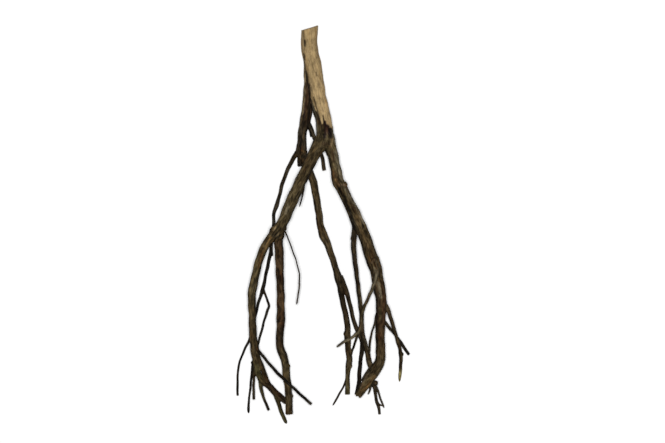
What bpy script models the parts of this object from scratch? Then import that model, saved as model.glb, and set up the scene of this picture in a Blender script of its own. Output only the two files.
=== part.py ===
"""A dry root with a peeled, cut top, lying on its back: one grown piece, one union of tapering limbs."""

import math

import bmesh
import bpy
import numpy as np
from mathutils import Vector

NODE = "dry_root"

# Routes give each point as (across, down, height, radius). Across and down are places in the
# front view, in pixels. Height above the ground and radius are in millimetres.
MM_PER_PIXEL = 1.5
MIDDLE_ACROSS = 323.037
MIDDLE_DOWN = 224.512

# The number of sides and the ring spacing (mm) of a limb follow its thickest radius (mm).
SIDES_BY_RADIUS = ((8.0, 14), (5.0, 10), (3.2, 8), (0.0, 6))
SPACING_BY_RADIUS = ((3.2, 12.0), (0.0, 14.0))

# Uneven growth: lobes around a limb and swellings along it, as shares of the radius.
TWO_LOBES = 0.05
THREE_LOBES = 0.035
LOBE_TURN_MM = 95.0
COUNTER_TURN = 1.7
SWELLING = 0.018
SWELLING_LENGTH_MM = 31.0
SWELLING_PHASE = 2.3
WANDER_MM = 0.22
WANDER_LENGTH_MM = 23.0
PHASE_STEP = 1.3

CUT_BEVEL = 0.10
CUT_DISH = 0.05
TOP_CUT_SLANT = 0.35
SPLINTER_MM = 4.5
SPLINTER_WAVES = 2.5
SPLINTER_START = 0.6
SPLINTER_DROP = 0.4
END_WAVE = 0.06
TIP_RADIUS_SHARE = 0.45
TIP_POINT_SHARE = 0.5
KNOB_SUBDIVISIONS_BY_RADIUS = ((4.0, 2), (0.0, 1))
KNOB_LENGTH_SHARE = 1.15
KNOB_HEIGHT_SHARE = 0.95

GROUND_DEPTH = 0.05
GROUND_SIDE = 1.2

BARK_COLOR = (0.085, 0.058, 0.040, 1.0)
BARK_ROUGHNESS = 0.85

# Each limb starts inside the limb that it grows from and ends at its visible end.
LIMBS = {
    "stem": ("slanted cut", [
        (327, 148, 75, 9.5), (326, 140, 70, 12.7), (324.9, 134.6, 66, 12.3), (323.9, 122, 56, 11.5),
        (321.3, 109, 47, 12.2), (319.1, 99, 40, 11.9), (316, 80, 28, 12.1), (312.9, 64, 19.5, 12.5),
        (310.3, 54.5, 15.2, 12.6), (309.3, 47, 13.3, 13.0), (309.4, 38, 13.1, 13.5),
        (309.8, 27.4, 13.8, 13.2),
    ]),
    "left leg": ("buried", [
        (325.5, 130, 63, 9), (322, 141, 73, 10.6), (315.8, 151, 79, 9.4), (308.2, 166.5, 85, 8.5),
        (302.5, 178, 89, 8.6), (295.8, 192, 93, 8.3), (289.9, 206, 96, 8.3), (284, 220, 98, 8.3),
        (279, 230, 98.5, 8.8), (276.5, 236, 98, 7.4),
    ]),
    "curved leg": ("buried", [
        (280.5, 227, 98, 7), (273, 236, 98, 7), (267, 243, 97, 6.3), (263.9, 249, 95, 6.2),
        (258.8, 263, 90, 5.9), (255.2, 277, 85, 5.8), (252.4, 291, 80, 5.9), (251.9, 304, 75.5, 5.8),
        (252.4, 317, 71, 5.5), (253.1, 333, 66, 5.5), (254.2, 346, 61, 5.8), (254.6, 350.5, 60, 5.9),
        (255.9, 358, 57, 4.8), (256.4, 363, 55, 3.4),
    ]),
    "left strand": ("buried", [
        (254.6, 350, 60, 4), (254.9, 358, 56.5, 3.8), (256.4, 366, 54, 4.4), (258.6, 374, 50, 4.7),
        (262.2, 380.4, 46, 4.8), (266, 383.6, 43.5, 4.2),
    ]),
    "right strand": ("buried", [
        (256, 350, 60, 4), (259.2, 359.5, 57, 3.4), (262.2, 366.5, 54, 3.3), (264.7, 374, 50, 3.2),
        (266.4, 380, 46, 3.6), (268.4, 384.4, 43.5, 3.8),
    ]),
    "left foot": ("cut", [
        (262.6, 379.6, 46.5, 4.2), (266, 383.4, 43.8, 5.4), (270.2, 387.6, 41.2, 4.7), (274, 391.5, 38, 4.4),
        (278, 395.1, 35, 4.5), (282, 398.5, 32, 4.5), (286.2, 402.2, 29, 3.9),
    ]),
    "left foot root": ("tip", [
        (270.4, 387, 41, 4.0), (274.8, 393.6, 36.5, 3.6), (277.2, 399.4, 32.5, 3.3), (280, 408.5, 27, 2.95),
        (282.3, 415, 22.5, 2.85), (285, 421.4, 18, 2.65), (286.4, 424, 16.5, 2.0),
    ]),
    "left foot twig": ("cut", [
        (259.6, 375.5, 49.5, 3.2), (260.6, 384, 44, 2.8), (261.6, 391, 40, 2.6), (263.2, 397, 37, 2.1),
        (265.6, 403, 34, 2.05), (268.6, 410.4, 30, 2.1),
    ]),
    "short twig": ("cut", [
        (255.4, 363.5, 54, 2.6), (254.1, 372, 51, 2.2), (253.6, 384, 46, 2.15), (253.8, 399.6, 40, 2.1),
    ]),
    "long rootlet": ("cut", [
        (254.8, 345.5, 62, 2.6), (257.6, 349.2, 64, 2.5), (266.8, 360.5, 64.5, 2.3),
        (279.2, 374.6, 63.5, 2.25),
        (290.9, 385.4, 61, 2.2), (301.5, 395.3, 57, 2.2), (311.2, 404.2, 52, 2.2),
    ]),
    "middle left leg": ("cut", [
        (280, 226, 97, 6.6), (278.8, 236, 95, 6.6), (279.1, 249, 90, 6.3), (279.7, 263, 84, 5.95),
        (280.1, 277, 79, 5.8), (280.6, 291, 74, 5.75), (281, 305, 69, 5.7), (281, 314, 65.5, 5.9),
        (280.8, 319, 64, 6.4), (280.4, 324.6, 62, 5.9), (280.1, 333, 59.5, 5.65), (279.9, 343, 56, 5.85),
        (281.3, 350.5, 54, 6.2), (284.9, 361.5, 50.5, 5.5), (286.2, 373, 47.5, 5.5), (288.1, 388, 44.5, 5.4),
        (289, 405, 42.5, 5.6), (289.3, 414, 41, 5.6),
    ]),
    "wispy rootlet": ("tip", [
        (281, 225, 98, 1.8), (285.6, 232.3, 98, 1.3), (291.4, 247, 94, 1.15), (296.9, 263, 88, 1.1),
        (299.4, 274.4, 83, 1.15), (299.4, 284.2, 79, 1.2), (298.3, 294.7, 74, 1.2), (296.6, 304.6, 70, 1.1),
    ]),
    "leg twig": ("tip", [
        (298.5, 183, 91, 2), (303.9, 187.6, 92, 1.6), (303.6, 191, 91, 1.4), (301.7, 199, 87, 1.35),
        (299.6, 206.8, 83, 1.1),
    ]),
    "back stem": ("buried", [
        (311, 52, 15, 7), (308.9, 66, 19, 8), (308.9, 80, 26, 7.6), (308.4, 91, 32, 7.0),
        (307.8, 100, 34.5, 7.4), (306.9, 109, 34, 7.6), (305.5, 118.7, 33, 8.0), (303.2, 128, 31, 6.8),
        (302, 141, 28, 6.8), (301.5, 149, 26.5, 8.0), (302.5, 157, 25.5, 6.4),
    ]),
    "fork branch": ("cut", [
        (305, 117.5, 33, 4.4), (309.3, 125, 32, 3.5), (312.4, 132, 32, 3.2), (314.8, 139, 32.5, 3.0),
        (318, 147, 33, 2.9), (321.5, 155.3, 34, 2.8), (324.2, 170.4, 34, 2.9),
    ]),
    "fork spur": ("tip", [
        (308.6, 125.5, 32, 2), (310.2, 131.5, 30.5, 1.8), (311, 137.4, 29, 1.2),
    ]),
    "junction stub": ("cut", [
        (300.6, 150, 26, 4.8), (299.9, 158, 24, 3.6), (299.7, 166, 21.5, 3.3),
    ]),
    "left thin root": ("cut", [
        (301, 148, 26, 4.2), (296.2, 153.8, 24.5, 3.6), (290.7, 163, 23, 3.1), (286, 173.5, 21.5, 2.9),
        (281.7, 185.5, 20, 2.8), (278.4, 199, 20, 2.7), (276.6, 205, 20, 3.1), (274.2, 211.5, 20, 2.6),
        (273.3, 225, 20.3, 2.5), (271.8, 239, 20.8, 2.4), (270.8, 250.5, 21, 2.7), (268.1, 263.5, 21, 2.4),
        (265.3, 277, 21, 2.3), (262.6, 289.5, 21, 2.8), (258.8, 301, 20, 2.3), (256.2, 311.5, 18.5, 2.1),
        (253, 326, 16, 2.0), (249.5, 339, 13, 1.9), (244.8, 349, 9.5, 1.8), (240, 360.5, 5.5, 1.75),
        (237.9, 368.5, 3.0, 1.75), (237.3, 378, 1.35, 1.75), (237.1, 388, 1.3, 1.75),
        (237.2, 396.4, 2.2, 1.6),
    ]),
    "left root spur": ("tip", [
        (270.8, 247.5, 21, 1.9), (272.6, 256, 20, 1.3),
    ]),
    "hooked twig": ("tip", [
        (262.6, 288.5, 21, 2.3), (265.3, 295, 21.3, 1.8), (267.4, 301.5, 21.5, 1.8), (269, 306.8, 21.5, 1.9),
        (267.5, 310, 21.5, 1.9), (264.8, 318.5, 21.2, 1.8), (261.6, 330.5, 20.5, 1.75),
        (258.3, 342.5, 20, 1.75),
        (253.2, 361, 18.5, 1.9), (251.9, 370.5, 17, 1.9), (250.5, 384, 14.8, 1.8), (249.3, 396, 12.5, 1.7),
        (248.3, 405, 10.8, 1.9), (248.2, 411, 9.6, 2.0), (248.4, 413.8, 9, 1.4),
    ]),
    "middle leg": ("buried", [
        (300.8, 147, 27, 5), (303.5, 158, 25.5, 5.4), (308, 168, 26, 5.2), (312.2, 178, 26.5, 5.4),
        (315.2, 192, 27, 5.6), (316.4, 199, 27, 5.4), (319, 213.5, 26.5, 5.2), (320.8, 227.5, 26, 5.1),
        (323.1, 234.5, 26, 6.2), (326.5, 241.5, 26, 5.4), (331.5, 255.5, 25.5, 4.9), (335.6, 268, 24.5, 4.9),
        (339.0, 280.5, 24, 5.5), (341.4, 287, 24, 4.4),
    ]),
    "middle leg strand": ("cut", [
        (338.8, 277, 24, 4.0), (340, 286, 23.5, 4.1), (341.6, 296, 23.5, 4.1), (344.6, 310, 23, 4.2),
        (347.2, 323, 22.5, 4.5), (347.6, 336, 22, 4.8), (348.0, 348, 21, 3.9), (349.3, 359, 20, 4.4),
        (348.8, 366, 19, 4.6), (347.8, 372, 18, 3.8), (347.6, 383, 16.5, 3.8), (347.6, 394.8, 15.5, 3.8),
    ]),
    "dark strand": ("cut", [
        (340.4, 276, 24.5, 3.8), (344.2, 286, 24.5, 3.9), (347.6, 296, 25, 3.5), (351.2, 310, 26, 3.2),
        (354.6, 324, 26, 3.1), (359.0, 334, 25, 3.2), (362.3, 343.5, 24, 3.0), (361.9, 350.5, 23, 3.3),
        (360.8, 359, 21.5, 3.1), (359.5, 371, 19.5, 3.2), (359.1, 381, 18, 3.1), (357.8, 390, 17, 2.9),
        (356, 395.4, 16, 2.4),
    ]),
    "right leg": ("broken", [
        (325.5, 129, 62, 8.5), (328.5, 141, 71, 10.2), (331.6, 150, 75.5, 8.3), (333.4, 157, 78, 7.7),
        (335.0, 166, 80, 7.3), (336.2, 172, 81.5, 7.4), (338.6, 182, 83.5, 8.7), (342.8, 190, 84.5, 8.3),
        (347.5, 201, 85, 8.7), (350.7, 207, 85, 8.9), (355.2, 216.5, 84.5, 9.4), (362.5, 232, 82.5, 8.2),
        (367.5, 246, 80.5, 8.8), (370.3, 254.5, 79, 9.8), (373.0, 261.5, 77.5, 10.2), (375.4, 269, 75.5, 9.2),
        (377.9, 282, 72, 8.3), (380.8, 296, 68.5, 7.8), (381.1, 310, 65, 7.1), (380.6, 324, 61.5, 6.9),
        (380.2, 337, 57.5, 6.7), (380.5, 348, 54, 6.3), (380.4, 358.6, 50.5, 6.8), (378.2, 365.5, 48, 7.6),
        (374.8, 371, 46, 7.7), (370.8, 376.4, 44, 7.8), (366.7, 382.7, 41.5, 7.2), (363, 388, 39.5, 6.4),
        (360, 392.6, 37.5, 5.9), (358.5, 395, 36.5, 5.3),
    ]),
    "side branch": ("buried", [
        (354.8, 213, 83.5, 4.4), (354.3, 222, 82, 4.4), (354.5, 230, 80.3, 3.8), (354.0, 236.5, 78.7, 4.0),
        (353.5, 243, 76.5, 3.8), (355, 261, 70, 3.5), (357.5, 282, 61, 3.35), (360.2, 303, 51, 3.2),
        (361.6, 317, 45, 3.5), (361.8, 331, 41, 3.8), (364.2, 341, 38, 3.7), (367.2, 351.6, 36, 3.6),
        (368.9, 360.5, 36.5, 3.9), (372, 369.5, 41, 3.7),
    ]),
    "front twig": ("tip", [
        (377.4, 267, 80, 2.8), (376.2, 274, 84.5, 2.6), (372.8, 286.5, 79.5, 2.5), (369.3, 295.5, 70.5, 2.4),
        (366.6, 301.5, 62, 2.35), (364, 307.5, 54, 2.3), (361.7, 315.5, 48, 2.3), (360.9, 324, 45.5, 2.3),
        (357.7, 332.2, 44.5, 2.6), (354, 336, 44, 2.2), (343.9, 341.9, 42.5, 2.0), (336.6, 347.2, 41.5, 1.8),
    ]),
    "crossing rootlet": ("tip", [
        (357.9, 331, 44, 2.2), (356.2, 339.4, 36, 1.8), (352.8, 349.5, 21, 1.7), (351.4, 355, 14, 1.6),
        (349.5, 362, 9.5, 1.5), (345.2, 383.1, 6, 1.5), (338.9, 395.5, 4.5, 1.65), (332.7, 406.3, 3.6, 1.5),
    ]),
    "thin dark twig": ("buried", [
        (380, 307, 65, 2.2), (377.2, 312.5, 63.5, 1.8), (374.2, 325, 57, 1.65), (371.4, 334, 50.5, 1.6),
        (370.2, 340.4, 46, 1.9), (369.6, 348, 40, 1.7), (369, 355, 36, 1.8),
    ]),
    "short link": ("tip", [
        (371, 367.5, 38.5, 2.6), (367.4, 372, 37.8, 2.2), (363.2, 378.2, 36, 1.8), (361.2, 381.4, 35, 1.3),
    ]),
    "right twig": ("tip", [
        (381.5, 300, 67, 4.2), (386.8, 307.5, 64.5, 3.4), (390.4, 317.2, 59.5, 2.9), (394, 329.1, 52.5, 2.7),
        (397.1, 339.6, 44, 2.7), (399.8, 348.5, 34, 2.7), (401, 355, 25, 3.0), (401, 362, 15.5, 2.65),
        (400.8, 368, 7.2, 2.5), (400.5, 373, 2.2, 2.35), (400.1, 378.5, 1.6, 2.0), (399.7, 382.6, 2.2, 1.0),
    ]),
    "lower right twig": ("cut", [
        (380.8, 317.5, 62, 3.2), (385.4, 323, 57, 2.6), (390, 328.6, 50, 2.3), (397, 337.2, 37.5, 2.3),
        (400.7, 342.6, 31.5, 2.4), (409, 354.8, 22, 2.4),
    ]),
    "foot rootlet": ("cut", [
        (371.8, 380.5, 42, 3.4), (374.4, 387.3, 37, 2.7), (375.9, 398, 22.5, 2.4), (377.2, 403, 14, 2.6),
        (378.9, 408.5, 6, 2.5), (379.4, 411.5, 1.9, 2.3), (379.8, 415.2, 1.3, 2.2),
    ]),
    "foot rootlet spur": ("tip", [
        (377.4, 403.8, 13, 1.8), (380.3, 405.6, 13, 1.5), (383, 406.4, 13, 1.2),
    ]),
    "thin foot rootlet": ("tip", [
        (373.6, 382, 42, 2.3), (376.8, 387.6, 37, 1.8), (379.6, 396.5, 30, 1.7), (382.4, 403.8, 24, 1.6),
        (384.2, 408.4, 21, 1.2),
    ]),
    "foot spur": ("tip", [
        (370.2, 383.5, 40, 2.2), (370.2, 389.4, 35, 1.7), (367.9, 394.9, 31, 1.2),
    ]),
}

# Knots and knobs, as (across, down, height, radius), each sunk into the limb that carries it.
KNOBS = (
    (274.8, 232.0, 98.5, 8.2),
    (279.6, 235.5, 97.0, 7.6),
    (284.3, 228.0, 99.0, 4.0),
    (301.4, 152.5, 26.0, 8.4),
    (312.6, 99.5, 37.0, 4.8),
    (320.4, 128.5, 60.0, 5.0),
    (336.6, 184.0, 84.5, 5.4),
    (344.5, 184.8, 84.5, 4.6),
    (375.7, 259.5, 79.5, 5.2),
    (353.4, 238.2, 78.2, 4.4),
    (255.6, 347.5, 63.0, 4.4),
    (262.0, 368.2, 53.5, 3.8),
    (288.2, 366.0, 50.0, 3.0),
    (291.9, 396.0, 45.0, 2.4),
    (350.2, 366.4, 19.0, 3.2),
    (346.3, 334.0, 22.5, 4.4),
    (401.7, 354.6, 25.0, 3.1),
    (375.8, 383.2, 41.5, 3.6),
    (357.9, 332.4, 44.3, 3.0),
    (252.2, 363.0, 18.2, 2.5),
    (382.4, 320.0, 64.0, 4.2),
    (376.6, 364.0, 48.5, 4.6),
)


def ground_place(across, down, height):
    """The place (mm) of a front-view point that lies this high above the ground."""
    return np.array([
        (across - MIDDLE_ACROSS) * MM_PER_PIXEL,
        (MIDDLE_DOWN - down) * MM_PER_PIXEL,
        height,
    ])


def by_radius(table, radius):
    """The table's value for the first limit that this radius reaches."""
    return next(value for limit, value in table if radius >= limit)


def smooth_route(points, spacing):
    """Centres, radii and distances along a smooth curve through the route's points, all in mm."""
    knots = np.array([[*ground_place(*point[:3]), point[3]] for point in points])
    steps = np.linalg.norm(np.diff(knots[:, :3], axis=0), axis=1)
    slopes = np.diff(knots, axis=0) / steps[:, None]
    before, after = steps[:-1, None], steps[1:, None]
    inner = (slopes[:-1] * after + slopes[1:] * before) / (before + after)
    tangents = np.vstack([slopes[:1], inner, slopes[-1:]])
    reach = np.concatenate([[0.0], np.cumsum(steps)])
    stretches = [
        np.linspace(start, stop, max(1, round((stop - start) / spacing)), endpoint=False)
        for start, stop in zip(reach, reach[1:])
    ]
    along = np.concatenate([*stretches, reach[-1:]])
    piece = np.clip(np.searchsorted(reach, along, side="right") - 1, 0, len(steps) - 1)
    length = steps[piece][:, None]
    t = (along[:, None] - reach[piece][:, None]) / length
    curve = (
        (2 * t**3 - 3 * t**2 + 1) * knots[piece]
        + (t**3 - 2 * t**2 + t) * length * tangents[piece]
        + (3 * t**2 - 2 * t**3) * knots[piece + 1]
        + (t**3 - t**2) * length * tangents[piece + 1]
    )
    return curve[:, :3], curve[:, 3], along


def ring_frames(centres):
    """Unit vectors along the route, up from it and to its side, at each centre."""
    forward = np.gradient(centres, axis=0)
    forward /= np.linalg.norm(forward, axis=1, keepdims=True)
    up = np.array([0.0, 0.0, 1.0]) - forward * forward[:, 2:]
    up /= np.linalg.norm(up, axis=1, keepdims=True)
    return forward, up, np.cross(forward, up)


def uneven_radii(radii, along, angles, phase):
    """The distance from centre to surface for each ring and angle, with lobes and swellings."""
    turn = (2 * math.pi * along / LOBE_TURN_MM + phase)[:, None]
    lobes = TWO_LOBES * np.cos(2 * angles + turn) + THREE_LOBES * np.cos(3 * angles - COUNTER_TURN * turn)
    swelling = SWELLING * np.sin(2 * math.pi * along / SWELLING_LENGTH_MM + SWELLING_PHASE * phase)
    return radii[:, None] * (1 + lobes + swelling[:, None])


def end_reach(style, angles, radius):
    """How far (mm) each point of the last ring goes on past its centre."""
    if style == "slanted cut":
        return TOP_CUT_SLANT * radius * np.sin(angles)
    if style == "broken":
        return SPLINTER_MM * (np.abs(np.sin(SPLINTER_WAVES * angles + SPLINTER_START)) - SPLINTER_DROP)
    return END_WAVE * radius * np.sin(2 * angles)


def limb_points(style, points, phase):
    """The rings of one limb and the middle points of its two ends, in mm."""
    thickest = max(point[3] for point in points)
    sides = by_radius(SIDES_BY_RADIUS, thickest)
    centres, radii, along = smooth_route(points, by_radius(SPACING_BY_RADIUS, thickest))
    forward, up, side = ring_frames(centres)
    fade = np.clip(along / WANDER_LENGTH_MM, 0, 1) * np.clip((along[-1] - along) / WANDER_LENGTH_MM, 0, 1)
    wander = WANDER_MM * fade * np.sin(2 * math.pi * along / WANDER_LENGTH_MM + phase)
    centres = centres + wander[:, None] * side
    angles = np.arange(sides) * 2 * math.pi / sides
    reach = uneven_radii(radii, along, angles, phase)
    outward = np.cos(angles)[None, :, None] * up[:, None] + np.sin(angles)[None, :, None] * side[:, None]
    rings = centres[:, None] + reach[..., None] * outward
    past = end_reach(style, angles, radii[-1])
    rings[-1] += past[:, None] * forward[-1]
    last = centres[-1] + forward[-1] * past.mean()
    if style == "tip":
        rings[-1] = centres[-1] + (rings[-1] - centres[-1]) * TIP_RADIUS_SHARE
        last = centres[-1] + forward[-1] * radii[-1] * TIP_POINT_SHARE
    elif style != "buried":
        bevel = centres[-1] + (rings[-1] - centres[-1]) * (1 - CUT_BEVEL)
        rings = np.concatenate([rings, bevel[None] + forward[-1] * radii[-1] * CUT_DISH])
    return rings, centres[0], last


def limb_object(name, rings, first, last):
    """A closed mesh object in metres from the rings and the two end points."""
    mesh = bmesh.new()
    rows = [[mesh.verts.new(Vector(point / 1000)) for point in ring] for ring in rings]
    count = len(rows[0])
    for row, following in zip(rows, rows[1:]):
        for i in range(count):
            j = (i + 1) % count
            mesh.faces.new((row[i], row[j], following[j], following[i]))
    for row, middle in ((rows[0], first), (rows[-1], last)):
        centre = mesh.verts.new(Vector(middle / 1000))
        for i in range(count):
            mesh.faces.new((row[i], row[(i + 1) % count], centre))
    bmesh.ops.triangulate(mesh, faces=mesh.faces[:])
    bmesh.ops.recalc_face_normals(mesh, faces=mesh.faces[:])
    data = bpy.data.meshes.new(name)
    mesh.to_mesh(data)
    mesh.free()
    return bpy.data.objects.new(name, data)


def knob_object(name, across, down, height, radius):
    """A slightly squashed ball, as a knot that the bark has grown over."""
    mesh = bmesh.new()
    subdivisions = by_radius(KNOB_SUBDIVISIONS_BY_RADIUS, radius)
    bmesh.ops.create_icosphere(mesh, subdivisions=subdivisions, radius=radius / 1000)
    place = Vector(ground_place(across, down, height) / 1000)
    for vertex in mesh.verts:
        vertex.co.y *= KNOB_LENGTH_SHARE
        vertex.co.z *= KNOB_HEIGHT_SHARE
        vertex.co += place
    data = bpy.data.meshes.new(name)
    mesh.to_mesh(data)
    mesh.free()
    return bpy.data.objects.new(name, data)


def join_by_union(base, others):
    """Joins the objects to the base with one Boolean and removes them."""
    group = bpy.data.collections.new("limbs to join")
    bpy.context.scene.collection.children.link(group)
    for other in others:
        group.objects.link(other)
    union = base.modifiers.new("join limbs", "BOOLEAN")
    union.operation = "UNION"
    union.operand_type = "COLLECTION"
    union.collection = group
    union.solver = "EXACT"
    bpy.context.view_layer.objects.active = base
    bpy.ops.object.modifier_apply(modifier=union.name)
    for other in list(group.objects):
        bpy.data.objects.remove(other)
    bpy.data.collections.remove(group)


def cut_flat_spots(root):
    """Cuts off what reaches below the ground, which leaves small flat spots to rest on."""
    mesh = bmesh.new()
    bmesh.ops.create_cube(mesh, size=1.0)
    for vertex in mesh.verts:
        x, y, z = vertex.co
        vertex.co = Vector((x * GROUND_SIDE, y * GROUND_SIDE, (z - 0.5) * GROUND_DEPTH))
    data = bpy.data.meshes.new("ground")
    mesh.to_mesh(data)
    mesh.free()
    ground = bpy.data.objects.new("ground", data)
    ground.hide_render = True
    ground.display_type = "WIRE"
    bpy.context.scene.collection.objects.link(ground)
    cut = root.modifiers.new("flat spots", "BOOLEAN")
    cut.operation = "DIFFERENCE"
    cut.object = ground
    cut.solver = "EXACT"


def bark_material():
    material = bpy.data.materials.new("root_wood")
    material.use_nodes = True
    shader = material.node_tree.nodes["Principled BSDF"]
    shader.inputs["Base Color"].default_value = BARK_COLOR
    shader.inputs["Roughness"].default_value = BARK_ROUGHNESS
    shader.inputs["Metallic"].default_value = 0.0
    return material


def main():
    for obj in list(bpy.data.objects):
        bpy.data.objects.remove(obj)
    limbs = []
    for number, (name, (style, points)) in enumerate(LIMBS.items()):
        rings, first, last = limb_points(style, points, phase=PHASE_STEP * number)
        limbs.append(limb_object(name, rings, first, last))
    for number, knob in enumerate(KNOBS, start=1):
        limbs.append(knob_object(f"knob {number}", *knob))
    root = limbs[0]
    root.name = NODE
    bpy.context.scene.collection.objects.link(root)
    join_by_union(root, limbs[1:])
    for face in root.data.polygons:
        face.use_smooth = True
    root.data.materials.append(bark_material())
    cut_flat_spots(root)


main()
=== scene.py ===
import math
from functools import partial

import bpy
import numpy as np
from mathutils import Matrix


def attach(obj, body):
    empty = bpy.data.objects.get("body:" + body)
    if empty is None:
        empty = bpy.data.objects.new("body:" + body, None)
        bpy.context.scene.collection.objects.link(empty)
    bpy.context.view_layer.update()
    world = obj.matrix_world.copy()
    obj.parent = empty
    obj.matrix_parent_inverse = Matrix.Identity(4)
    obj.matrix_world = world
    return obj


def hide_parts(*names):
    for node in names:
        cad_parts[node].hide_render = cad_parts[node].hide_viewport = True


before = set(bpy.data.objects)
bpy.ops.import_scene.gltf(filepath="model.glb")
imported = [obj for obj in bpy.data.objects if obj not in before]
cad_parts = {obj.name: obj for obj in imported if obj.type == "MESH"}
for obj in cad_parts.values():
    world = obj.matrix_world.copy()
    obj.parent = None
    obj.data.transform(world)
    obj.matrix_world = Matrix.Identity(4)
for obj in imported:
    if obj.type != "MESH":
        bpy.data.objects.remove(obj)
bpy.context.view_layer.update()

NODE = "dry_root"

# Routes give each point as (across, down, height, radius). Across and down are places in the
# front view, in pixels. Height above the ground and radius are in millimetres.
METRES_PER_MM = 0.001
MM_PER_PIXEL = 1.5
MIDDLE_ACROSS = 323.037
MIDDLE_DOWN = 224.512
IMAGE_WIDTH = 665
IMAGE_HEIGHT = 443

# Uneven growth: lobes around a limb and swellings along it, as shares of the radius. The centre
# line wanders to its sides.
TWO_LOBES = 0.05
THREE_LOBES = 0.035
LOBE_TURN_MM = 95.0
COUNTER_TURN = 1.7
SWELLING = 0.018
SWELLING_LENGTH_MM = 31.0
SWELLING_PHASE = 2.3
WANDER_MM = 0.22
WANDER_LENGTH_MM = 23.0
PHASE_STEP = 1.3

# The ends of limbs, as shares of the end's radius where no unit is named.
CUT_BEVEL = 0.10
CUT_DISH = 0.05
TOP_CUT_SLANT = 0.35
END_WAVE = 0.06
SPLINTER_MM = 4.5
SPLINTER_WAVES = 2.5
SPLINTER_START = 0.6
SPLINTER_DROP = 0.4
TIP_RADIUS_SHARE = 0.45
TIP_POINT_SHARE = 0.5

# Knots are balls, a little longer than wide.
KNOB_LENGTH_SHARE = 1.15
KNOB_HEIGHT_SHARE = 0.95
KNOB_ROWS = 8
KNOB_SIDES = 14

# The fine mesh.
RING_SPACING_MM = 2.5
SIDE_WIDTH_MM = 1.6
FEWEST_SIDES = 12
VOXEL_MM = 0.8
SMOOTHING_ROUNDS = 4
SMOOTH_PUSH = 0.5
SMOOTH_PULL = -0.52
NORMAL_PUSH = 0.6
MOST_TRIANGLES = 192000

# Seeded noise on a lattice.
NOISE_VALUES = 8192
NOISE_FACTORS = np.array([73856093, 19349663, 83492791])

# How points find their nearest limbs, and how far the looks of two limbs blend.
POINTS_AT_ONCE = 20000
FAR_MM = 1e9
NEAR_MM = 6.0
BLEND_MM = 1.2
BEYOND_SHARE = 0.7
LEAST_WEIGHT = 1e-12
LEAST_OFFSET_MM = 1e-9
GRAIN_SHIFT = 500

# Bark relief: the cells of each noise as (mm round the limb, mm along it, shift from limb to
# limb, seed), and its height as a share of the limb's radius.
THINNEST_MM = 1.2
BARK_CELLS = {
    "broad": (4.5, 26, 7, 11),
    "ridges": (1.7, 13, 5, 12),
    "fine": (0.8, 6, 3, 13),
    "lumps": (2.5, 4.0, 9, 14),
}
BROAD_SHARE = 0.070
RIDGE_SHARE = 0.045
FINE_SHARE = 0.010
LUMP_SHARE = 0.014

# The peeled wood's relief, how deep it lies under the bark, and the bark's ragged edge in pixels.
WOOD_BROAD_MM = 0.16
WOOD_RIDGES_MM = 0.10
WOOD_FINE_MM = 0.05
BARK_DEPTH_MM = 0.55
EDGE_RIDGES = 1.6
EDGE_NOTCHES = 1.2
EDGE_WIDTH = 0.9

# Marks fade on surfaces that turn from the front, and their edges waver.
MARK_FACING = 2.0
MARK_FACING_START = 0.2
MARK_WOBBLE = 0.35
MARK_WOBBLE_MM = 2.2
MARK_MARGIN = 5
MARK_SOFT = 1.4
MARK_SEED = 31

# Rough bark on the larger knots, with pale patches, and soft joints between limbs.
ROUGH_KNOT_MM = 3.5
KNOT_REACH = 1.7
KNOT_CELL_MM = 1.9
KNOT_FINE = 0.6
KNOT_ROUGH_MM = 0.42
KNOT_SEED = 21
KNOT_FINE_SEED = 22
PATCH_GAIN = 1.4
PATCH_MM = 3.4
PATCH_START = 0.1
PATCH_SHARE = 0.35
PATCH_SEED = 41
THICKEST_JOINT_MM = 7
JOINT_REACH = 0.55
JOINT_FILLET = 0.11

# Where a surface counts as a cut end, and where painted shade falls in bark cracks and at joints between
# limbs.
END_FACING = 0.55
END_FACING_SOFT = 0.2
END_DEPTH_MM = 3.0
CREVICE_GAIN = 5
THINNEST_CREVICE_MM = 1.5
JOINT_SHADE_MM = 2.2

# Painted shade: the root's flanks are painted darker, more so on the inside of its spread than on the
# outside. Across places are in pixels.
FLANK_START = 0.05
FLANK_FULL = 0.85
FLANK_CURVE = 1.5
BARK_FLANK_SHADE = 0.16
WOOD_FLANK_SHADE = 0.60
SHADE_SIDE_LEAN = 0.34
SHADE_SIDE_MIDDLE = 314.0
SHADE_SIDE_TURN = 9.0

# The material's noises, as (stretch along the limb, scale, detail, roughness).
NOISES = {
    "fibres": (0.13, 0.85, 6.0, 0.70),
    "streaks": (0.13, 0.36, 3.0, 0.60),
    "blotches": (0.32, 0.18, 5.0, 0.66),
    "mottles": (0.30, 0.44, 4.0, 0.62),
    "patches": (0.30, 0.11, 4.0, 0.62),
    "flecks": (0.55, 0.75, 3.0, 0.60),
    "lines": (0.05, 1.20, 5.0, 0.70),
    "broad lines": (0.08, 0.30, 3.0, 0.60),
    "stains": (0.45, 0.22, 4.0, 0.65),
}

# How strongly each noise, each kind of wear and the painted shade in cracks and at joints show in bark, as
# (from, to, first, last), and the share of the bark's own tone that is left, or the color that it takes.
BLOTCHED = (0.38, 0.62, 0.32, 1.67)
MOTTLED = (0.38, 0.62, 0.60, 1.38)
FIBROUS = (0.36, 0.64, 0.60, 1.38)
BLEACHED = (0.52, 0.62, 0.0, 0.60)
BLEACHED_FIBRES = (0.46, 0.58, 0.0, 1.0)
BLEACHED_GAIN = 2.6
BLEACHED_GREY_SHARE = 0.35
BLEACHED_GREY = (0.130, 0.112, 0.080, 1)
RUSTY = (0.46, 0.34, 0.0, 0.75)
RUSTY_TINT = (1.35, 0.92, 0.70, 1)
PITTED = (0.60, 0.70, 0.0, 0.75)
PIT_TONE = 0.22
CRACK_SHADE = (0.50, 1.0, 0.0, 0.8)
CRACK_SHADE_TONE = 0.22
JOINT_SHADE_SHARE = 0.55
JOINT_SHADE_TONE = 0.25

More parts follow.
